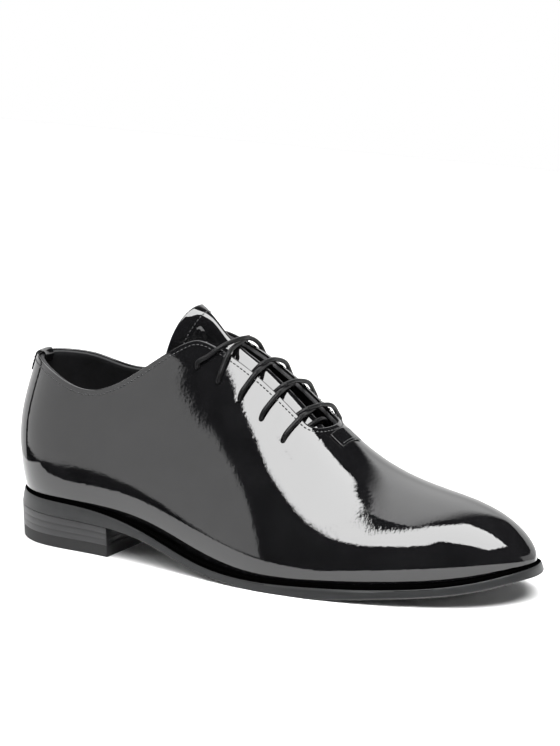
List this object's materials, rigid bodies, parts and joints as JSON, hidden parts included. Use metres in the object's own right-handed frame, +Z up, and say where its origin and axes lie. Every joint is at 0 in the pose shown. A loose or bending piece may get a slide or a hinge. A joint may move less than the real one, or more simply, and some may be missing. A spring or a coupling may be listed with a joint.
{
  "type": "leather oxford shoe",
  "caption": "Black patent oxford dress shoe for the right foot: one-piece laced upper, leather sole, stacked heel, and a tongue that presses inward.",
  "frame": {"origin": "on the floor under the middle of the shoe's plan box", "axes": "+X from the heel to the toe, +Y towards the inner side of the foot, +Z up"},
  "size_m": [0.3026, 0.1036, 0.1325],
  "materials": {
    "patent_leather": "mirror patent",
    "lining_leather": "matte calf",
    "fibre_board": "pressed fibre",
    "stiffener": "thermoplastic board",
    "cotton_tape": "woven",
    "waxed_cotton": "waxed round braid",
    "edge_inked_leather": "satin inked edge",
    "stacked_leather": "satin inked",
    "heel_rubber": "matte",
    "spring_steel": "bare",
    "cork": "cork and glue",
    "blackened_brass": "black"
  },
  "bodies": {
    "shoe": {"upper": "patent_leather", "lining": "lining_leather", "heel_counter": "stiffener", "toe_puff": "stiffener", "facing_stay_outer": "cotton_tape", "facing_stay_inner": "cotton_tape", "topline_tape": "cotton_tape", "back_tab": "patent_leather", "throat_bar": "patent_leather", "lace": "waxed_cotton", "outsole": "edge_inked_leather", "rand": "stacked_leather", "insole_board": "fibre_board", "sock_liner": "lining_leather", "cork_filler": "cork", "shank": "spring_steel", "heel_top_piece": "heel_rubber", "heel_lift_1": "stacked_leather", "heel_lift_2": "stacked_leather", "heel_lift_3": "stacked_leather", "heel_nail_1": "spring_steel", "eyelet_outer_1": "blackened_brass", "eyelet_inner_1": "blackened_brass", "heel_nail_2": "spring_steel", "eyelet_outer_2": "blackened_brass", "eyelet_inner_2": "blackened_brass", "heel_nail_3": "spring_steel", "eyelet_outer_3": "blackened_brass", "eyelet_inner_3": "blackened_brass", "heel_nail_4": "spring_steel", "eyelet_outer_4": "blackened_brass", "eyelet_inner_4": "blackened_brass", "heel_nail_5": "spring_steel", "eyelet_outer_5": "blackened_brass", "eyelet_inner_5": "blackened_brass"},
    "tongue": {"tongue": "patent_leather", "tongue_lining": "lining_leather"}
  },
  "joints": [
    {"name": "tongue_hinge", "type": "hinge", "parent": "shoe", "child": "tongue", "pos_m": [0.0418, 0.0023, 0.0636], "axis": [0, -1, 0], "range_deg": [0, 12], "stiffness_Nm_per_rad": 0.4, "springref_deg": -6.88}
  ]
}
